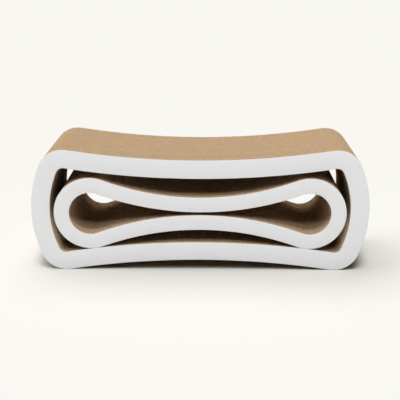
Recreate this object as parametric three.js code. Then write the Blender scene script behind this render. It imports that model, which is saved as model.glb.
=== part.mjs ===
// A two-in-one corrugated cat scratcher: a long hollow ring to lie on, and a dog-bone ring nested in it.
// Each ring is a glued stack of die-cut sheets, with a white-faced cover sheet at its front and at its back.
// Millimetres, +Z up, +X along the length, front towards -Y, origin on the floor under the middle.
import * as THREE from 'three';

// The glued stack, from front to back.
const SHEET_PITCH = 4; // one corrugated sheet with its glue line
const GLUE_LINE = 0.3; // gap between neighbouring solids in a stack
const SHEETS_PER_PACK = 4; // core sheets that are modelled as one solid
const PACKS_PER_RING = 14;
const SHEETS_PER_COVER = 1;

// The outer ring: four rounded corners, joined by sagging long sides and bulged ends.
const LENGTH = 700;
const HEIGHT = 257; // from the floor to the top of the corners
const SIDE_DIP = 21.5; // how far a long side sags below its corners at mid length
const END_RADIUS = 244;
const OUTER_BAND = 38.5; // width of the ring, the same all round
const HOLE_CORNER_RADIUS = 15;
const FOOT_WIDTH = 12; // pressed flat at the outermost point of each corner, where the ring stands

// The inner ring: two round lobes joined by a slim waist.
const INNER_BAND = 31.5; // width of the ring, the same all round
const WAIST_SLOT = 6.5; // least opening, between the two sides of the waist
const END_CLEARANCE = 8; // from a lobe to the end of the outer ring's hole
const LOBE_CLEARANCE = 6.5; // above and below a lobe while the inner ring is held at mid height
const REST_GAP = 0.3; // below a lobe once the inner ring has been set down

// Facets.
const CHORD_ERROR = 0.35; // how far a facet may stray from its arc
const SAME_POINT = 0.001; // neighbouring points closer than this are one

const depthOfSheets = (count) => count * SHEET_PITCH - GLUE_LINE;
const SHEETS_PER_RING = PACKS_PER_RING * SHEETS_PER_PACK + 2 * SHEETS_PER_COVER;
const DEPTH = depthOfSheets(SHEETS_PER_RING);

const kraft = new THREE.MeshStandardMaterial({ color: '#bea380', roughness: 0.9, metalness: 0 });
const whiteLiner = new THREE.MeshStandardMaterial({ color: '#dededd', roughness: 0.6, metalness: 0 });

// Points along a circular arc, as few as keep the facets within the chord error.
function arcPoints(centre, radius, from, to) {
  const step = 2 * Math.acos(1 - CHORD_ERROR / radius);
  const count = Math.max(1, Math.ceil(Math.abs(to - from) / step));
  return new THREE.EllipseCurve(centre.x, centre.y, radius, radius, from, to, to < from).getPoints(count);
}

// Angle of the line from one point to another.
const angleBetween = (from, to) => Math.atan2(to.y - from.y, to.x - from.x);

// Mirrors a quarter outline, which runs from the +X axis to the +Y axis, into a closed one.
function closeByMirrors(quarter) {
  const corners = quarter.filter((point, i) => i === 0 || point.distanceTo(quarter[i - 1]) > SAME_POINT);
  const left = corners.slice(0, -1).reverse().map((point) => new THREE.Vector2(-point.x, point.y));
  const upper = [...corners, ...left];
  const lower = upper.slice(1, -1).reverse().map((point) => new THREE.Vector2(point.x, -point.y));
  return [...upper, ...lower];
}

// Centres and radii of the outer ring's arcs. The corner arc touches the end arc from inside, and the arc of
// the long side, which is centred above the ring, from outside.
function outerArcs() {
  const corner = { radius: HOLE_CORNER_RADIUS + OUTER_BAND };
  const flatAngle = Math.asin(FOOT_WIDTH / 2 / corner.radius);
  const cornerRise = HEIGHT / 2 - corner.radius * Math.cos(flatAngle);
  const end = { radius: END_RADIUS, centre: new THREE.Vector2(LENGTH / 2 - END_RADIUS, 0) };
  const cornerReach = Math.sqrt((END_RADIUS - corner.radius) ** 2 - cornerRise ** 2);
  corner.centre = new THREE.Vector2(end.centre.x + cornerReach, cornerRise);
  const midHeight = HEIGHT / 2 - SIDE_DIP;
  const rise = cornerRise - midHeight;
  const sideRadius = (corner.centre.x ** 2 + rise ** 2 - corner.radius ** 2) / (2 * (corner.radius + rise));
  const side = { radius: sideRadius, centre: new THREE.Vector2(0, midHeight + sideRadius) };
  return { end, corner, side };
}

// A quarter of the outer ring, set in from its outside by the inset, with a flat at the top of the corner.
function outerQuarter({ end, corner, side }, inset, flat) {
  const radius = corner.radius - inset;
  const flatAngle = Math.asin(flat / 2 / radius);
  const fromEnd = angleBetween(end.centre, corner.centre);
  const toSide = angleBetween(corner.centre, side.centre);
  return [
    ...arcPoints(end.centre, end.radius - inset, 0, fromEnd),
    ...arcPoints(corner.centre, radius, fromEnd, Math.PI / 2 - flatAngle),
    ...arcPoints(corner.centre, radius, Math.PI / 2 + flatAngle, toSide),
    ...arcPoints(side.centre, side.radius + inset, toSide - Math.PI, -Math.PI / 2),
  ];
}

// Centres and radii of the inner ring's arcs, and its drop from mid height. Held at mid height, a lobe has its
// clearance to both long sides of the hole and to the end. It then drops until it rests on the lower side.
function innerArcs({ side }) {
  const reach = LENGTH / 2 - OUTER_BAND - END_CLEARANCE;
  const holeSide = side.radius + OUTER_BAND;
  const heldApart = holeSide + LOBE_CLEARANCE;
  const radius = (reach ** 2 + side.centre.y ** 2 - heldApart ** 2) / (2 * (reach + heldApart));
  const lobe = { radius, centre: new THREE.Vector2(reach - radius, 0) };
  const waistHeight = WAIST_SLOT / 2 + INNER_BAND;
  const lobeReach = lobe.centre.x;
  const waistRadius = (lobeReach ** 2 + waistHeight ** 2 - radius ** 2) / (2 * (radius - waistHeight));
  const waist = { radius: waistRadius, centre: new THREE.Vector2(0, waistHeight + waistRadius) };
  const restApart = holeSide + radius + REST_GAP;
  const drop = side.centre.y - Math.sqrt(restApart ** 2 - lobeReach ** 2);
  return { lobe, waist, drop };
}

// A quarter of the inner ring, set in from its outside by the inset.
function innerQuarter({ lobe, waist }, inset) {
  const toWaist = angleBetween(lobe.centre, waist.centre);
  return [
    ...arcPoints(lobe.centre, lobe.radius - inset, 0, toWaist),
    ...arcPoints(waist.centre, waist.radius + inset, toWaist - Math.PI, -Math.PI / 2),
  ];
}

// The die-cut sheet: an outline with one hole.
function ringProfile(outlineQuarter, holeQuarter) {
  const profile = new THREE.Shape(closeByMirrors(outlineQuarter));
  profile.holes.push(new THREE.Path(closeByMirrors(holeQuarter)));
  return profile;
}

// Glues one ring's sheets into a stack, from the front cover to the back cover. The stack is turned so that
// the profile stands upright and its local Z axis points to the front.
function sheetStack(ringName, profile, midHeight) {
  const stack = new THREE.Group();
  stack.rotation.x = Math.PI / 2;
  stack.position.z = midHeight;
  let sheetsBefore = 0;
  const addLayer = (layerName, sheets, material) => {
    const thickness = depthOfSheets(sheets);
    const layer = new THREE.Mesh(
      new THREE.ExtrudeGeometry(profile, { depth: thickness, bevelEnabled: false }),
      material.clone(),
    );
    layer.name = `${ringName}_${layerName}`;
    layer.position.z = DEPTH / 2 - sheetsBefore * SHEET_PITCH - thickness;
    stack.add(layer);
    sheetsBefore += sheets;
  };
  addLayer('front_cover', SHEETS_PER_COVER, whiteLiner);
  for (let pack = 1; pack <= PACKS_PER_RING; pack += 1) {
    addLayer(`core_pack_${String(pack).padStart(2, '0')}`, SHEETS_PER_PACK, kraft);
  }
  addLayer('back_cover', SHEETS_PER_COVER, whiteLiner);
  return stack;
}

const outer = outerArcs();
const inner = innerArcs(outer);
const outerProfile = ringProfile(outerQuarter(outer, 0, FOOT_WIDTH), outerQuarter(outer, OUTER_BAND, 0));
const innerProfile = ringProfile(innerQuarter(inner, 0), innerQuarter(inner, INNER_BAND));

const scratcher = new THREE.Group();
scratcher.add(sheetStack('outer_ring', outerProfile, HEIGHT / 2));
scratcher.add(sheetStack('inner_ring', innerProfile, HEIGHT / 2 - inner.drop));

export default scratcher;
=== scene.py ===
"""Looks of a two-ring cat scratcher, glued up from die-cut corrugated board.

Laid out as a Blender add-on and run as a script. Every sheet of the two stacks gets its liners and its
fluted paper, and the outermost liners are white. Metres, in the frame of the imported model: +X runs along
the length, +Z is up and the front looks towards -Y.
"""

import math
from typing import NamedTuple

import bpy
import numpy as np
from bpy.props import FloatProperty, FloatVectorProperty, IntProperty, PointerProperty
from mathutils import Matrix, Vector


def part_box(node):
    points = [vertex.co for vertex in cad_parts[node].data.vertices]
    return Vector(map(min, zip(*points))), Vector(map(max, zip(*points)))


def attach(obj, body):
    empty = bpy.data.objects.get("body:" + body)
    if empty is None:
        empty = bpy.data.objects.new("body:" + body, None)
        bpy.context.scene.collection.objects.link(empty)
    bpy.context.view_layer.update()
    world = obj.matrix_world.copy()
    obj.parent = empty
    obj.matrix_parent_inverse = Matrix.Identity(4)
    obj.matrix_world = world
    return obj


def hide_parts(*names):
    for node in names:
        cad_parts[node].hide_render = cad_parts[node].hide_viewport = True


bl_info = {
    "name": "Corrugated cat scratcher",
    "version": (1, 0, 0),
    "blender": (4, 5, 0),
    "location": "View3D > Sidebar > Scratcher",
    "description": "Builds the glued sheets of a two-ring cat scratcher, and a studio to see it in",
    "category": "Add Mesh",
}

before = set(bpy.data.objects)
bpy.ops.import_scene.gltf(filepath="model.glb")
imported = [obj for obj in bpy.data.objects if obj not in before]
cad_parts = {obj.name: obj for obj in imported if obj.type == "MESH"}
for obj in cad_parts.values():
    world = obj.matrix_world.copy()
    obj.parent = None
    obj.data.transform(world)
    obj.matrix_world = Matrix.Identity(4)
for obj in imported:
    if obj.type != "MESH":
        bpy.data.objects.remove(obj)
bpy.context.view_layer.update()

FRONT_COVER = "front_cover"
BACK_COVER = "back_cover"
CORE_PACK = "core_pack"

# Which material of a piece a face takes.
LINER, FLUTING, WHITE = range(3)

# Added to the seed, so that no two stacks are scattered alike.
CORE_SEEDS = {"outer_ring": 3, "inner_ring": 2}
COVER_SEEDS = {"outer_ring": 6, "inner_ring": 4}

# Fine sizes of the meshes.
LINER_CHORD_ERROR = 0.00006  # how far a facet of a kraft liner may stray from its arc
WHITE_CHORD_ERROR = 0.00001  # the same for a white liner
FLUTE_CLEARANCE = 0.00002  # from a crest of the fluting to the liner that it is glued to
FLUTE_TIP = 0.0003  # the fluting's outermost columns end this far inside the tips of the outline
NO_HOLE = 0.00001  # a column whose hole is lower than this misses the hole
EDGE_ROLL = 0.00045  # how far in from a cut edge the white liner starts to roll over
EDGE_DROP = 0.0002  # how far its face has rolled over at the cut
SHARP_EDGE = math.radians(50)  # faces that meet at a larger turn than this keep a crisp edge
RIM_IN_MAP = 0.003  # least width of a side in the texture map

# Refraction of every paper.
PAPER_IOR = 1.5

# Brown papers. Widths are in millimetres, and shares add to the brightness.
CLOUD_WIDTH = 45
FIBRE_WIDTH = 2.2
FLECK_WIDTH = 6
STREAK_STRETCH = 5  # streaks and flecks are this many times as long as wide
FLECK_RANGE = (0.70, 0.78)  # of the flecks' noise, from no fleck to a pale one
GREY_RANGE = (0.35, 0.65)  # of the clouds' noise, from warm pulp to grey
BASE_BRIGHTNESS = 0.90
CLOUD_SHARE = 0.10
FIBRE_SHARE = 0.10
FLECK_SHARE = 0.12
TONE_SHARE = 0.045  # the lightest paper gains it and the darkest one loses it
FIBRE_RELIEF = 0.0001  # m

# White coat of the covers. Widths are in millimetres.
COAT_CLOUD_WIDTH = 70
COAT_GRAIN_WIDTH = 1.5
COAT_ROUGHNESS = (0.5, 0.66)
COAT_GRAIN_SHARE = 0.4  # of the washboard's relief
COAT_RELIEF = 0.00006  # m
EDGE_WEAR = (0.6, 0.3)  # on the two facets of a rolled edge, from the cut inwards

# Sockets of a Mix node that mixes colours.
MIX_FACTOR, MIX_FIRST, MIX_SECOND, MIXED = 0, 6, 7, 2

# Studio sizes.
FLOOR_HALF_SIZE = 20.0
FLOOR_DROP = 0.0002  # keeps the floor clear of the feet
SENSOR_WIDTH = 36.0  # mm
PICTURE_SIDE = 400  # px

# Directions towards the lamps.
HIGH_FRONT_LAMP = (0.0, -0.34, 0.94)
LOW_FRONT_LAMP = (0.0, -0.64, 0.77)
LEFT_LAMP = (-0.69, 0.14, 0.71)
BACK_LAMP = (-0.07, 0.39, 0.92)


def linear(hex_colour):
    """Linear RGB of an sRGB hex colour."""
    channels = [int(hex_colour[i:i + 2], 16) / 255 for i in (1, 3, 5)]
    return tuple(c / 12.92 if c <= 0.04045 else ((c + 0.055) / 1.055) ** 2.4 for c in channels)


def length(name, description, default):
    """A size in metres that a user may change."""
    return FloatProperty(
        name=name,
        description=description,
        default=default,
        min=0.0,
        precision=5,
        subtype="DISTANCE",
        unit="LENGTH",
    )


def colour(name, description, default):
    """A colour that a user may change. The default is an sRGB hex value."""
    return FloatVectorProperty(
        name=name,
        description=description,
        default=linear(default),
        min=0.0,
        max=1.0,
        size=3,
        subtype="COLOR",
    )


def lamp_strength(name, default):
    """Strength of a lamp that a user may change."""
    return FloatProperty(name=name, description="Strength, in W/m2", default=default, min=0.0)


def angle(name, description, default):
    """An angle that a user may change, in radians."""
    return FloatProperty(name=name, description=description, default=default, subtype="ANGLE")


class OuterRingSizes(bpy.types.PropertyGroup):
    """Sizes of the long ring that stands on the floor."""

    side_dip: length("Side dip", "How far a long side sags below its corners at mid length", 0.0215)
    end_radius: length("End radius", "Radius of the bulged ends", 0.244)
    band: length("Band", "Width of the ring, the same all round", 0.0385)
    hole_corner: length("Hole corner", "Corner radius of the hole", 0.015)
    foot: length("Foot", "Width of the flat pressed at each corner", 0.012)


class InnerRingSizes(bpy.types.PropertyGroup):
    """Sizes of the dog-bone ring that is nested in the outer one."""

    band: length("Band", "Width of the ring, the same all round", 0.0315)
    waist_slot: length("Waist slot", "Least opening, between the two sides of the waist", 0.0065)
    lobe_clearance: length("Lobe clearance", "Above and below a lobe held at mid height", 0.0065)


class BoardSizes(bpy.types.PropertyGroup):
    """Sizes of the corrugated board."""

    sheet_pitch: length("Sheet pitch", "One sheet with its glue line", 0.004)
    glued_liners: length("Glued liners", "The two liners between neighbouring flutings", 0.0005)
    white_liner: length("White liner", "The white liner on the outside of a cover", 0.0005)
    fluting_paper: length("Fluting paper", "Thickness of the wavy paper", 0.0003)
    flute_pitch: length("Flute pitch", "From one crest of the fluting to the next", 0.0078)
    ragged_cut: length("Ragged cut", "How unevenly the die cuts the fluting", 0.00005)
    sheet_scatter: length("Sheet scatter", "How far a sheet may lie in from the outline", 0.0001)
    steps_per_flute: IntProperty(name="Flute steps", description="Facets along one wave", default=8, min=4)
    seed: IntProperty(name="Seed", description="Start of the random scatter", default=7, min=0)


class PaperColours(bpy.types.PropertyGroup):
    """Colours of the papers."""

    liner: colour("Kraft liner", "Unbleached kraft liner", "#dbbe97")
    liner_grey: colour("Kraft liner, greyer", "The greyer patches of the kraft liner", "#d3b998")
    fluting: colour("Fluting paper", "Semi-chemical fluting paper between the liners", "#d4b48d")
    fluting_grey: colour("Fluting paper, greyer", "The greyer patches of the fluting paper", "#ccb08e")
    white: colour("White liner", "White clay-coated liner of the covers", "#eeeff1")
    white_shade: colour("White liner, shaded", "Faint grey clouds in the white liner", "#eaebed")


class StageSettings(bpy.types.PropertyGroup):
    """Floor, light and camera."""

    floor: colour("Floor", "Pale matt studio paper", "#cdccc8")
    backdrop: colour("Backdrop", "Lit studio paper, where the view goes past the floor", "#f8f7f3")
    sky_strength: FloatProperty(name="Sky", description="Strength of the even light", default=0.03, min=0.0)
    high_front: lamp_strength("High front lamp", 1.98)
    low_front: lamp_strength("Low front lamp", 0.76)
    left: lamp_strength("Left lamp", 1.3)
    back: lamp_strength("Back lamp", 1.5)
    front_width: angle("Front lamps' width", "How wide each of them looks", math.radians(16))
    left_width: angle("Left lamp's width", "How wide it looks", math.radians(55))
    back_width: angle("Back lamp's width", "How wide it looks", math.radians(45))
    camera_place: FloatVectorProperty(
        name="Camera",
        description="Place of the camera",
        default=(0.02476, -1.89031, 0.66051),
        subtype="TRANSLATION",
    )
    camera_yaw: angle("Yaw", "Turn to the right", -0.01377)
    camera_pitch: angle("Pitch", "Tilt downwards", 0.27899)
    camera_roll: angle("Roll", "Turn about the view", -0.00052)
    focal_pixels: FloatProperty(name="Focal length", description="In pixels of the picture", default=895.4)


class ScratcherSettings(bpy.types.PropertyGroup):
    """Everything that a user may change."""

    outer: PointerProperty(type=OuterRingSizes)
    inner: PointerProperty(type=InnerRingSizes)
    board: PointerProperty(type=BoardSizes)
    paper: PointerProperty(type=PaperColours)
    stage: PointerProperty(type=StageSettings)


class Arc(NamedTuple):
    """One arc of a ring's outline. It bulges out of the ring (+1) or is hollow (-1)."""

    x: float
    z: float
    radius: float
    start: float
    end: float
    bulge: int


class Ring(NamedTuple):
    """A die-cut ring: its band, and a quarter of its outline, as arcs from the +X tip to the top middle."""

    name: str
    arcs: tuple
    band: float
    half_length: float
    half_height: float
    mid_height: float


class Part(NamedTuple):
    """The closed surface of one paper of a sheet.

    Its quads have places in a strip of the texture map, which has a width. Each quad has a finish, tells
    how much of a cut edge it is, and has the tone of its paper.
    """

    points: np.ndarray
    quads: np.ndarray
    places: np.ndarray
    strip: float
    finish: np.ndarray
    cut: np.ndarray
    tone: np.ndarray


def outer_ring(sizes):
    """The outer ring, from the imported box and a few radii.

    The corner arc touches the end arc from inside, so their centres lie apart by the difference of the
    radii. It touches the arc of the long side, which is centred above the ring, from outside, so those
    centres lie apart by the sum. The side's radius follows from its lowest point.
    """
    low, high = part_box("outer_ring_" + FRONT_COVER)
    half_height = (high.z - low.z) / 2
    corner = sizes.hole_corner + sizes.band
    corner_z = half_height - math.sqrt(corner ** 2 - (sizes.foot / 2) ** 2)
    end_x = high.x - sizes.end_radius
    corner_x = end_x + math.sqrt((sizes.end_radius - corner) ** 2 - corner_z ** 2)
    dip_z = half_height - sizes.side_dip
    rise = corner_z - dip_z
    side = (corner_x ** 2 + rise ** 2 - corner ** 2) / (2 * (corner + rise))
    side_z = dip_z + side
    leaves_end = math.atan2(corner_z, corner_x - end_x)
    meets_side = math.atan2(side_z - corner_z, -corner_x)
    arcs = (
        Arc(end_x, 0.0, sizes.end_radius, 0.0, leaves_end, 1),
        Arc(corner_x, corner_z, corner, leaves_end, meets_side, 1),
        Arc(0.0, side_z, side, meets_side - math.pi, -math.pi / 2, -1),
    )
    return Ring("outer_ring", arcs, sizes.band, high.x, half_height, (low.z + high.z) / 2)


def inner_ring(sizes, outer):
    """The inner ring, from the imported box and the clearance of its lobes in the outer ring's hole.

    A lobe held at mid height keeps its clearance to the hole's long side and reaches the tip of the packed
    box, which gives its radius. The waist's arc touches the lobe from outside and stops at the waist's half
    height.
    """
    low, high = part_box("inner_ring_" + FRONT_COVER)
    side = outer.arcs[-1]
    apart = side.radius + outer.band + sizes.lobe_clearance
    lobe = (high.x ** 2 + side.z ** 2 - apart ** 2) / (2 * (high.x + apart))
    lobe_x = high.x - lobe
    waist_z = sizes.waist_slot / 2 + sizes.band
    waist = (lobe_x ** 2 + waist_z ** 2 - lobe ** 2) / (2 * (lobe - waist_z))
    meets_waist = math.atan2(waist_z + waist, -lobe_x)
    arcs = (
        Arc(lobe_x, 0.0, lobe, 0.0, meets_waist, 1),
        Arc(0.0, waist_z + waist, waist, meets_waist - math.pi, -math.pi / 2, -1),
    )
    return Ring("inner_ring", arcs, sizes.band, high.x, lobe, (low.z + high.z) / 2)


def edge_height(ring, x, inset):
    """Height of the outline above the ring's middle at each x, set in from the outside by the inset.

    On an arc it is the centre's height plus (bulged) or minus (hollow) the root of the squared radius less
    the squared distance from the centre. The arcs run inwards from the tip, so a later one takes over where
    it starts. The pressed feet cut it off level.
    """
    reach = np.abs(x)
    height = np.zeros_like(reach)
    for arc in ring.arcs:
        radius = arc.radius - arc.bulge * inset
        root = np.sqrt(np.maximum(radius ** 2 - (reach - arc.x) ** 2, 0.0))
        begun = reach <= arc.x + radius * math.cos(arc.start)
        height = np.where(begun, arc.z + arc.bulge * root, height)
    return np.minimum(height, ring.half_height)


def outline_stations(ring, chord_error):
    """Rows of x, z and outward normal round the ring.

    Each arc is cut into equal angles, small enough for the chord error, and two mirrors close the outline.
    """
    pieces = []
    for arc in ring.arcs:
        step = 2 * math.acos(1 - chord_error / arc.radius)
        count = math.ceil(abs(arc.end - arc.start) / step)
        last = arc is ring.arcs[-1]
        turn = np.linspace(arc.start, arc.end, count + last, endpoint=last)
        way = np.stack([np.cos(turn), np.sin(turn)], axis=1)
        pieces.append(np.hstack([np.array([arc.x, arc.z]) + arc.radius * way, arc.bulge * way]))
    quarter = np.concatenate(pieces)
    upper = np.concatenate([quarter, quarter[-2::-1] * (-1, 1, -1, 1)])
    return np.concatenate([upper, upper[-2:0:-1] * (1, -1, 1, -1)])


def carried_profile(ring, profile, finish, cut, tone, chord_error):
    """A flat ring of paper: a closed profile of (inset, y) points carried along the ring's outline.

    A point lies at its station less the inset times the outward normal, so the hole is a uniform offset of
    the outline. The pressed feet cut it off level. In the texture map a strip runs along the outline, and
    each side of the profile has its own width in it.
    """
    stations = outline_stations(ring, chord_error)
    inset, y = np.array(profile).T
    x = stations[:, :1] - inset * stations[:, 2:3]
    z = np.clip(stations[:, 1:2] - inset * stations[:, 3:4], -ring.half_height, ring.half_height)
    points = np.stack([x, np.broadcast_to(y, x.shape), z + ring.mid_height], axis=-1)
    index = np.arange(x.size).reshape(x.shape)
    beside = np.roll(index, -1, axis=1)
    quads = np.stack([index, np.roll(index, -1, axis=0), np.roll(beside, -1, axis=0), beside], axis=-1)
    walked = np.hypot(*(np.roll(stations, -1, axis=0) - stations)[:, :2].T)
    along = np.append(0.0, np.cumsum(walked)) / walked.sum()
    widths = np.hypot(np.roll(inset, -1) - inset, np.roll(y, -1) - y)
    across = np.append(0.0, np.cumsum(np.maximum(widths, RIM_IN_MAP)))
    u, v = np.meshgrid(along, across, indexing="ij")
    grid = np.stack([u, v], axis=-1)
    places = np.stack([grid[:-1, :-1], grid[1:, :-1], grid[1:, 1:], grid[:-1, 1:]], axis=2)
    count = len(stations)
    return Part(
        points.reshape(-1, 3), quads.reshape(-1, 4), places.reshape(-1, 4, 2), across[-1],
        np.tile(finish, count), np.tile(cut, count), np.full(quads.size // 4, tone),
    )


def kraft_liner(ring, front, thickness, recess, tone):
    """The two glued liners between neighbouring flutings, as one flat ring of kraft paper.

    The sides of its profile are, in order, the outer cut, the front, the hole's cut and the back.
    """
    back = front + thickness
    inner_cut = ring.band - recess
    profile = [(recess, back), (recess, front), (inner_cut, front), (inner_cut, back)]
    return carried_profile(ring, profile, (LINER,) * 4, (1.0, 0.0, 1.0, 0.0), tone, LINER_CHORD_ERROR)


def white_liner(ring, face, inside, tone):
    """The white liner of a cover: flat, but rolled over at its two cuts, where its kraft core shows.

    The face lies at y = face and the glued side at y = inside. The profile runs from the outer cut over the
    face to the hole's cut and back along the glued side. A rolled edge is a quarter of an ellipse in two
    facets. The order turns round on the back cover, so that the surface still looks outwards.
    """
    way = math.copysign(1.0, inside - face)
    half_roll = EDGE_ROLL * (1 - math.sqrt(0.5))
    half_drop = EDGE_DROP * (1 - math.sqrt(0.5))
    rolled = [(0.0, EDGE_DROP), (half_roll, half_drop), (EDGE_ROLL, 0.0)]
    outer_half = [(0.0, abs(inside - face))] + rolled
    profile = outer_half + [(ring.band - inset, drop) for inset, drop in reversed(outer_half)]
    profile = [(inset, face + way * drop) for inset, drop in profile]
    finish = (LINER,) + (WHITE,) * 5 + (LINER,) * 2
    cut = (1.0, *EDGE_WEAR, 0.0, *reversed(EDGE_WEAR), 1.0, 0.0)
    part = carried_profile(ring, profile, finish, cut, tone, WHITE_CHORD_ERROR)
    if way < 0:
        part = part._replace(quads=part.quads[:, ::-1], places=part.places[:, ::-1])
    return part


def flute_faces(through, band):
    """Quads of a fluting, their places in the texture map, which of them are cuts, and the strip's width.

    The grid has four levels from the top down, and each has a front row and a back row of columns. The
    two halves, above and below the hole, are tubes whose sides are, in order, the front, the lower cut,
    the back and the upper cut, and whose ends are closed. Where a column misses the hole, the halves share
    their inner corners, and the hole's cut is left out between two such columns.
    """
    columns = len(through)
    index = np.arange(8 * columns).reshape(4, 2, columns)
    index[2][:, ~through] = index[1][:, ~through]
    along = np.linspace(0.0, 1.0, columns)
    u = np.stack([along[:-1], along[:-1], along[1:], along[1:]], axis=1)
    beside_hole = through[:-1] | through[1:]
    every = np.full(columns - 1, True)
    quads, places, cut = [], [], []
    strip = 0.0
    for top, bottom, hole_side in ((0, 1, 1), (2, 3, 3)):
        corners = (index[top, 0], index[bottom, 0], index[bottom, 1], index[top, 1])
        for side, (here, there) in enumerate(zip(corners, corners[1:] + corners[:1])):
            is_cut = side % 2 == 1
            width = RIM_IN_MAP if is_cut else band
            kept = beside_hole if side == hole_side else every
            quads.append(np.stack([here[:-1], there[:-1], there[1:], here[1:]], axis=1)[kept])
            v = np.broadcast_to((strip, strip + width, strip + width, strip), u.shape)
            places.append(np.stack([u, v], axis=-1)[kept])
            cut.append(np.full(kept.sum(), float(is_cut)))
            strip += width
        rim = strip + RIM_IN_MAP
        quads.append(np.array([[c[-1] for c in corners], [c[0] for c in reversed(corners)]]))
        half_strip = np.array([[0.0, strip], [0.0, rim], [0.5, rim], [0.5, strip]])
        places.append(np.stack([half_strip, half_strip + (0.5, 0.0)]))
        cut.append(np.ones(2))
        strip = rim
    return np.concatenate(quads), np.concatenate(places), np.concatenate(cut), strip


def fluted_paper(ring, board, front, back, recess, tone, rng):
    """The wavy paper of one sheet, from the liner in front of it to the one behind.

    Its middle follows y = middle + amplitude sin(2 pi x / pitch + phase), and half its thickness times the
    root of 1 + slope squared lies to either side. The flutes stand upright, so each column of the grid runs
    from the outline down to the hole, and from the hole down to the outline below. A column that misses the
    hole has nothing between its two halves.
    """
    amplitude = (back - front - board.fluting_paper) / 2 - FLUTE_CLEARANCE
    wave = 2 * math.pi / board.flute_pitch
    tip = ring.half_length - recess - FLUTE_TIP
    hole_tip = ring.half_length - ring.band + recess
    steps = 2 * round(tip * board.steps_per_flute / board.flute_pitch)
    x = np.union1d(np.linspace(-tip, tip, steps + 1), (-hole_tip, hole_tip))
    phase = wave * x + rng.uniform(0, 2 * math.pi)
    middle = (front + back) / 2 + amplitude * np.sin(phase)
    half = board.fluting_paper / 2 * np.sqrt(1 + (amplitude * wave * np.cos(phase)) ** 2)
    ragged = rng.uniform(0, board.ragged_cut, (4, len(x)))
    outside = edge_height(ring, x, recess)
    hole = edge_height(ring, x, ring.band - recess)
    through = hole > NO_HOLE
    into_paper = np.array([[-1], [1], [-1], [1]])
    z = np.stack([outside, hole, -hole, -outside]) + into_paper * ragged
    z[1:3, ~through] = 0.0
    y = np.stack([middle - half, middle + half])
    points = np.stack(np.broadcast_arrays(x, y, z[:, None] + ring.mid_height), axis=-1).reshape(-1, 3)
    quads, places, cut, strip = flute_faces(through, ring.band)
    used, quads = np.unique(quads, return_inverse=True)
    quads = quads.reshape(-1, 4)
    count = len(quads)
    return Part(points[used], quads, places, strip, np.full(count, FLUTING), cut, np.full(count, tone))


def add_attribute(mesh, name, values):
    """Stores one number for each face, for the materials to read."""
    attribute = mesh.attributes.new(name, "FLOAT", "FACE")
    attribute.data.foreach_set("value", values.astype(np.float32))


def add_piece(name, parts, node, body, materials):
    """Joins the parts into one object that stands for the CAD node and rides on its body.

    The parts' strips are stacked in the texture map, so that no two faces share a place in it.
    """
    starts = np.cumsum([0] + [len(part.points) for part in parts])
    points = np.concatenate([part.points for part in parts])
    quads = np.concatenate([part.quads + start for part, start in zip(parts, starts)])
    strips = np.cumsum([0.0] + [part.strip for part in parts])
    places = np.concatenate([part.places + (0.0, strip) for part, strip in zip(parts, strips)])
    places[..., 1] /= strips[-1]
    mesh = bpy.data.meshes.new(name)
    mesh.vertices.add(len(points))
    mesh.vertices.foreach_set("co", points.astype(np.float32).ravel())
    mesh.loops.add(quads.size)
    mesh.loops.foreach_set("vertex_index", quads.astype(np.int32).ravel())
    mesh.polygons.add(len(quads))
    mesh.polygons.foreach_set("loop_start", np.arange(0, quads.size, 4, dtype=np.int32))
    finish = np.concatenate([part.finish for part in parts])
    mesh.polygons.foreach_set("material_index", finish.astype(np.int32))
    for material in materials:
        mesh.materials.append(material)
    mesh.update(calc_edges=True)
    mesh.uv_layers.new(name="OFBake").data.foreach_set("uv", places.astype(np.float32).ravel())
    add_attribute(mesh, "cut_edge", np.concatenate([part.cut for part in parts]))
    add_attribute(mesh, "sheet_tone", np.concatenate([part.tone for part in parts]))
    mesh.shade_smooth()
    mesh.set_sharp_from_angle(angle=SHARP_EDGE)
    piece = bpy.data.objects.new(name, mesh)
    bpy.context.scene.collection.objects.link(piece)
    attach(piece, body)
    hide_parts(node)


def corrugated_sheet(ring, board, front, rng):
    """One sheet of the core: the liners that glue it to the sheet in front, and its fluting."""
    recess = rng.uniform(0, board.sheet_scatter)
    liner_tone, fluting_tone = rng.uniform(-1, 1, 2)
    fluting_front = front + board.glued_liners
    back = front + board.sheet_pitch
    return [
        kraft_liner(ring, front, board.glued_liners, recess, liner_tone),
        fluted_paper(ring, board, fluting_front, back, recess, fluting_tone, rng),
    ]


def build_core(ring, settings):
    """Builds a ring's core, pack by pack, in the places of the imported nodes."""
    board = settings.board
    rng = np.random.default_rng(board.seed + CORE_SEEDS[ring.name])
    materials = [kraft_liner_finish(settings), fluting_finish(settings)]
    for node in sorted(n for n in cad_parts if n.startswith(f"{ring.name}_{CORE_PACK}")):
        low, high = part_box(node)
        sheets = round((high.y - low.y) / board.sheet_pitch)
        fronts = low.y + board.sheet_pitch * np.arange(sheets)
        parts = [part for front in fronts for part in corrugated_sheet(ring, board, front, rng)]
        add_piece(f"{node}_sheets", parts, node, ring.name, materials)


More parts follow.
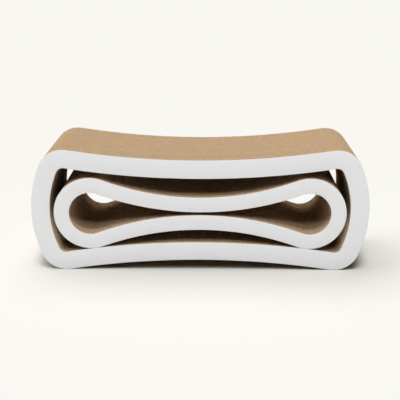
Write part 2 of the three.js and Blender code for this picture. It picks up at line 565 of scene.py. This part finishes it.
def build_covers(ring, settings):
    """Builds a ring's front and back cover: fluted board with a white liner on its outside."""
    board = settings.board
    rng = np.random.default_rng(board.seed + COVER_SEEDS[ring.name])
    materials = [kraft_liner_finish(settings), fluting_finish(settings), white_liner_finish(settings)]

    node = f"{ring.name}_{FRONT_COVER}"
    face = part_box(node)[0].y
    inside = face + board.white_liner
    white_tone, fluting_tone = rng.uniform(-1, 1, 2)
    parts = [
        white_liner(ring, face, inside, white_tone),
        fluted_paper(ring, board, inside, face + board.sheet_pitch, 0.0, fluting_tone, rng),
    ]
    add_piece(f"{node}_board", parts, node, ring.name, materials)

    node = f"{ring.name}_{BACK_COVER}"
    low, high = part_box(node)
    inside = high.y - board.white_liner
    liner_tone, fluting_tone, white_tone = rng.uniform(-1, 1, 3)
    parts = [
        kraft_liner(ring, low.y, board.glued_liners, 0.0, liner_tone),
        fluted_paper(ring, board, low.y + board.glued_liners, inside, 0.0, fluting_tone, rng),
        white_liner(ring, high.y, inside, white_tone),
    ]
    add_piece(f"{node}_board", parts, node, ring.name, materials)


def add_node(tree, kind, settings=None, links=None):
    """Adds a node. Settings name its inputs or its own attributes, and links join sockets to its inputs."""
    node = tree.nodes.new(kind)
    for key, value in (settings or {}).items():
        if isinstance(key, int) or key in node.inputs:
            node.inputs[key].default_value = value
        else:
            setattr(node, key, value)
    for key, socket in (links or {}).items():
        tree.links.new(socket, node.inputs[key])
    return node


def per_metre(millimetres):
    """Scale of a noise whose features have that size."""
    return 1000 / millimetres


def opaque(rgb):
    """A colour with full alpha, as a node's socket takes it."""
    return (*rgb, 1.0)


def new_material(name, **surface):
    """A material and its Principled shader, or None for the shader where the material exists already."""
    material = bpy.data.materials.get(name)
    if material:
        return material, None
    material = bpy.data.materials.new(name)
    material.use_nodes = True
    shader = material.node_tree.nodes["Principled BSDF"]
    for key, value in surface.items():
        shader.inputs[key.replace("_", " ")].default_value = value
    return material, shader


def paper_finish(name, warm, grey, roughness, cut_lift):
    """Unbleached paper, made on a machine and cut by a die: matt and brown.

    Fibres give fine streaks and a few pale flecks along the machine's run, the pulp gives clouds a few
    centimetres wide, each sheet has a tone of its own, and a cut edge, with its torn fibres, is paler than
    the face.
    """
    material, shader = new_material(name, Roughness=roughness, IOR=PAPER_IOR)
    if shader is None:
        return material
    tree = material.node_tree
    place = add_node(tree, "ShaderNodeTexCoord").outputs["Object"]
    clouds = add_node(
        tree, "ShaderNodeTexNoise",
        {"Scale": per_metre(CLOUD_WIDTH), "Detail": 3.0, "Roughness": 0.6},
        {"Vector": place},
    ).outputs["Fac"]
    # Single fibres are too fine to show, so the streaks are drawn a few millimetres wide.
    run = add_node(
        tree, "ShaderNodeMapping", {"Scale": (1 / STREAK_STRETCH, 1.0, 1.0)}, {"Vector": place}
    ).outputs["Vector"]
    fibres = add_node(
        tree, "ShaderNodeTexNoise", {"Scale": per_metre(FIBRE_WIDTH), "Detail": 4.0}, {"Vector": run}
    ).outputs["Fac"]
    flecks = add_node(
        tree, "ShaderNodeTexNoise", {"Scale": per_metre(FLECK_WIDTH), "Detail": 1.0}, {"Vector": run}
    ).outputs["Fac"]
    pale = add_node(
        tree, "ShaderNodeMapRange",
        {"From Min": FLECK_RANGE[0], "From Max": FLECK_RANGE[1]},
        {"Value": flecks},
    ).outputs["Result"]
    tone = add_node(tree, "ShaderNodeAttribute", {"attribute_name": "sheet_tone"}).outputs["Fac"]
    cut = add_node(tree, "ShaderNodeAttribute", {"attribute_name": "cut_edge"}).outputs["Fac"]
    brightness = add_node(
        tree, "ShaderNodeMath",
        {"operation": "MULTIPLY_ADD", 1: CLOUD_SHARE, 2: BASE_BRIGHTNESS},
        {0: clouds},
    ).outputs["Value"]
    for source, share in (
        (fibres, FIBRE_SHARE), (pale, FLECK_SHARE), (tone, TONE_SHARE), (cut, cut_lift),
    ):
        brightness = add_node(
            tree, "ShaderNodeMath", {"operation": "MULTIPLY_ADD", 1: share}, {0: source, 2: brightness}
        ).outputs["Value"]
    greyness = add_node(
        tree, "ShaderNodeMapRange",
        {"From Min": GREY_RANGE[0], "From Max": GREY_RANGE[1]},
        {"Value": clouds},
    ).outputs["Result"]
    pulp = add_node(
        tree, "ShaderNodeMix",
        {"data_type": "RGBA", MIX_FIRST: opaque(warm), MIX_SECOND: opaque(grey)},
        {MIX_FACTOR: greyness},
    ).outputs[MIXED]
    shade = add_node(tree, "ShaderNodeHueSaturation", {}, {"Value": brightness, "Color": pulp})
    bump = add_node(
        tree, "ShaderNodeBump", {"Strength": 0.35, "Distance": FIBRE_RELIEF}, {"Height": fibres}
    )
    tree.links.new(shade.outputs["Color"], shader.inputs["Base Color"])
    tree.links.new(bump.outputs["Normal"], shader.inputs["Normal"])
    return material


def kraft_liner_finish(settings):
    """Kraft linerboard: long, strong fibres, the smoother of the two brown papers."""
    paper = settings.paper
    return paper_finish(
        "kraft_linerboard_die_cut", paper.liner, paper.liner_grey, roughness=0.85, cut_lift=0.05
    )


def fluting_finish(settings):
    """Semi-chemical fluting paper: shorter, greyer fibres, pressed into waves between hot rolls."""
    paper = settings.paper
    return paper_finish(
        "fluting_paper_hot_rolled", paper.fluting, paper.fluting_grey, roughness=0.92, cut_lift=0.04
    )


def white_liner_finish(settings):
    """White clay-coated linerboard: smooth and nearly matt.

    The flutes beneath press through as a faint washboard, the coating has grey clouds that are hardly seen,
    and at the rolled edges it is scuffed a little towards the kraft below.
    """
    paper = settings.paper
    material, shader = new_material("white_linerboard_clay_coated", IOR=PAPER_IOR)
    if shader is None:
        return material
    tree = material.node_tree
    place = add_node(tree, "ShaderNodeTexCoord").outputs["Object"]
    clouds = add_node(
        tree, "ShaderNodeTexNoise", {"Scale": per_metre(COAT_CLOUD_WIDTH), "Detail": 4.0}, {"Vector": place}
    ).outputs["Fac"]
    grain = add_node(
        tree, "ShaderNodeTexNoise", {"Scale": per_metre(COAT_GRAIN_WIDTH), "Detail": 3.0}, {"Vector": place}
    ).outputs["Fac"]
    coat = add_node(
        tree, "ShaderNodeMix",
        {"data_type": "RGBA", MIX_FIRST: opaque(paper.white), MIX_SECOND: opaque(paper.white_shade)},
        {MIX_FACTOR: clouds},
    ).outputs[MIXED]
    cut = add_node(tree, "ShaderNodeAttribute", {"attribute_name": "cut_edge"}).outputs["Fac"]
    scuff = add_node(tree, "ShaderNodeMath", {"operation": "MULTIPLY"}, {0: cut, 1: grain}).outputs["Value"]
    worn = add_node(
        tree, "ShaderNodeMix",
        {"data_type": "RGBA", MIX_SECOND: opaque(paper.liner)},
        {MIX_FACTOR: scuff, MIX_FIRST: coat},
    ).outputs[MIXED]
    roughness = add_node(
        tree, "ShaderNodeMapRange",
        {"To Min": COAT_ROUGHNESS[0], "To Max": COAT_ROUGHNESS[1]},
        {"Value": grain},
    ).outputs["Result"]
    # The bands of a wave texture repeat every 2 pi / (20 scale).
    washboard_scale = 2 * math.pi / (20 * settings.board.flute_pitch)
    washboard = add_node(
        tree, "ShaderNodeTexWave", {"Scale": washboard_scale}, {"Vector": place}
    ).outputs["Fac"]
    relief = add_node(
        tree, "ShaderNodeMath",
        {"operation": "MULTIPLY_ADD", 1: COAT_GRAIN_SHARE},
        {0: grain, 2: washboard},
    ).outputs["Value"]
    bump = add_node(
        tree, "ShaderNodeBump", {"Strength": 0.25, "Distance": COAT_RELIEF}, {"Height": relief}
    ).outputs["Normal"]
    tree.links.new(worn, shader.inputs["Base Color"])
    tree.links.new(roughness, shader.inputs["Roughness"])
    tree.links.new(bump, shader.inputs["Normal"])
    return material


def seen_directly(tree):
    """1 for a ray from the camera, also by way of gloss or glass, and 0 for light that bounces."""
    path = add_node(tree, "ShaderNodeLightPath").outputs
    seen = path["Is Camera Ray"]
    for name in ("Is Glossy Ray", "Is Transmission Ray"):
        either = add_node(tree, "ShaderNodeMath", {"operation": "MAXIMUM"}, {0: seen, 1: path[name]})
        seen = either.outputs["Value"]
    return seen


def floor_finish(stage):
    """Pale matt studio paper, which the lamps light up to nearly white."""
    material, _ = new_material(
        "studio_paper_matt", Base_Color=opaque(stage.floor), Roughness=0.95, Specular_IOR_Level=0.0
    )
    return material


def lay_floor(stage):
    """A level square, wide enough to fill the picture to its top edge."""
    half = FLOOR_HALF_SIZE
    square = ((-half, -half), (half, -half), (half, half), (-half, half))
    mesh = bpy.data.meshes.new("studio_floor")
    mesh.from_pydata([(x, y, -FLOOR_DROP) for x, y in square], [], [(0, 1, 2, 3)])
    mesh.materials.append(floor_finish(stage))
    floor = bpy.data.objects.new("studio_floor", mesh)
    bpy.context.scene.collection.objects.link(floor)


def light_studio(stage):
    """A faint even sky, which the camera sees as the backdrop, and four soft lamps."""
    world = bpy.data.worlds.new("studio_sky")
    bpy.context.scene.world = world
    world.use_nodes = True
    tree = world.node_tree
    light = tree.nodes["Background"]
    light.inputs["Color"].default_value = (1.0, 1.0, 1.0, 1.0)
    light.inputs["Strength"].default_value = stage.sky_strength
    backdrop = add_node(tree, "ShaderNodeBackground", {"Color": opaque(stage.backdrop), "Strength": 1.0})
    mix = add_node(
        tree, "ShaderNodeMixShader", {},
        {0: seen_directly(tree), 1: light.outputs["Background"], 2: backdrop.outputs["Background"]},
    )
    tree.links.new(mix.outputs["Shader"], tree.nodes["World Output"].inputs["Surface"])

    for name, strength, width, towards in (
        ("high_front_lamp", stage.high_front, stage.front_width, HIGH_FRONT_LAMP),
        ("low_front_lamp", stage.low_front, stage.front_width, LOW_FRONT_LAMP),
        ("left_lamp", stage.left, stage.left_width, LEFT_LAMP),
        ("back_lamp", stage.back, stage.back_width, BACK_LAMP),
    ):
        lamp = bpy.data.lights.new(name, "SUN")
        lamp.energy = strength
        lamp.angle = width
        holder = bpy.data.objects.new(name, lamp)
        holder.rotation_euler = Vector(towards).to_track_quat("Z", "Y").to_euler()
        bpy.context.scene.collection.objects.link(holder)


def place_camera(stage):
    """The photograph's camera: yaw about the vertical, then pitch downwards, then roll about the view."""
    yaw, pitch, roll = stage.camera_yaw, stage.camera_pitch, stage.camera_roll
    ahead = Vector((math.sin(yaw) * math.cos(pitch), math.cos(yaw) * math.cos(pitch), -math.sin(pitch)))
    level = Vector((math.cos(yaw), -math.sin(yaw), 0.0))
    above = level.cross(ahead)
    right = math.cos(roll) * level + math.sin(roll) * above
    up = math.cos(roll) * above - math.sin(roll) * level
    lens = bpy.data.cameras.new("camera")
    lens.sensor_width = SENSOR_WIDTH
    lens.lens = stage.focal_pixels / PICTURE_SIDE * SENSOR_WIDTH
    camera = bpy.data.objects.new("camera", lens)
    turn = Matrix((right, up, -ahead)).transposed().to_4x4()
    camera.matrix_world = Matrix.Translation(stage.camera_place) @ turn
    bpy.context.scene.collection.objects.link(camera)
    bpy.context.scene.camera = camera


class SCRATCHER_OT_stage(bpy.types.Operator):
    """Lay the floor, light the studio and place the camera"""

    bl_idname = "scratcher.stage"
    bl_label = "Studio"

    def execute(self, context):
        stage = context.scene.scratcher.stage
        context.scene.view_settings.view_transform = "Standard"
        lay_floor(stage)
        light_studio(stage)
        place_camera(stage)
        return {"FINISHED"}


class SCRATCHER_OT_outer_core(bpy.types.Operator):
    """Glue up the outer ring's core, pack by pack"""

    bl_idname = "scratcher.outer_core"
    bl_label = "Outer ring core"

    def execute(self, context):
        settings = context.scene.scratcher
        build_core(outer_ring(settings.outer), settings)
        return {"FINISHED"}


class SCRATCHER_OT_outer_covers(bpy.types.Operator):
    """Glue the white covers on the outer ring"""

    bl_idname = "scratcher.outer_covers"
    bl_label = "Outer ring covers"

    def execute(self, context):
        settings = context.scene.scratcher
        build_covers(outer_ring(settings.outer), settings)
        return {"FINISHED"}


class SCRATCHER_OT_inner_core(bpy.types.Operator):
    """Glue up the inner ring's core, pack by pack"""

    bl_idname = "scratcher.inner_core"
    bl_label = "Inner ring core"

    def execute(self, context):
        settings = context.scene.scratcher
        build_core(inner_ring(settings.inner, outer_ring(settings.outer)), settings)
        return {"FINISHED"}


class SCRATCHER_OT_inner_covers(bpy.types.Operator):
    """Glue the white covers on the inner ring"""

    bl_idname = "scratcher.inner_covers"
    bl_label = "Inner ring covers"

    def execute(self, context):
        settings = context.scene.scratcher
        build_covers(inner_ring(settings.inner, outer_ring(settings.outer)), settings)
        return {"FINISHED"}


OPERATORS = (
    SCRATCHER_OT_stage,
    SCRATCHER_OT_outer_core,
    SCRATCHER_OT_outer_covers,
    SCRATCHER_OT_inner_core,
    SCRATCHER_OT_inner_covers,
)


class SCRATCHER_PT_build(bpy.types.Panel):
    """Lists the steps of the build and everything that can be changed"""

    bl_label = "Cat scratcher"
    bl_idname = "SCRATCHER_PT_build"
    bl_space_type = "VIEW_3D"
    bl_region_type = "UI"
    bl_category = "Scratcher"

    def draw(self, context):
        for operator in OPERATORS:
            self.layout.operator(operator.bl_idname)
        settings = context.scene.scratcher
        for group in (settings.outer, settings.inner, settings.board, settings.paper, settings.stage):
            box = self.layout.box()
            for name in group.__annotations__:
                box.prop(group, name)


CLASSES = (
    OuterRingSizes,
    InnerRingSizes,
    BoardSizes,
    PaperColours,
    StageSettings,
    ScratcherSettings,
    *OPERATORS,
    SCRATCHER_PT_build,
)


def register():
    """Adds the classes, and the scratcher's settings to every scene."""
    for cls in CLASSES:
        bpy.utils.register_class(cls)
    bpy.types.Scene.scratcher = PointerProperty(type=ScratcherSettings)


def unregister():
    """Takes the settings and the classes away again."""
    del bpy.types.Scene.scratcher
    for cls in reversed(CLASSES):
        bpy.utils.unregister_class(cls)


def main():
    """Builds the stage and every piece."""
    register()
    bpy.ops.scratcher.stage()
    bpy.ops.scratcher.outer_core()
    bpy.ops.scratcher.outer_covers()
    bpy.ops.scratcher.inner_core()
    bpy.ops.scratcher.inner_covers()


if __name__ == "__main__":
    main()
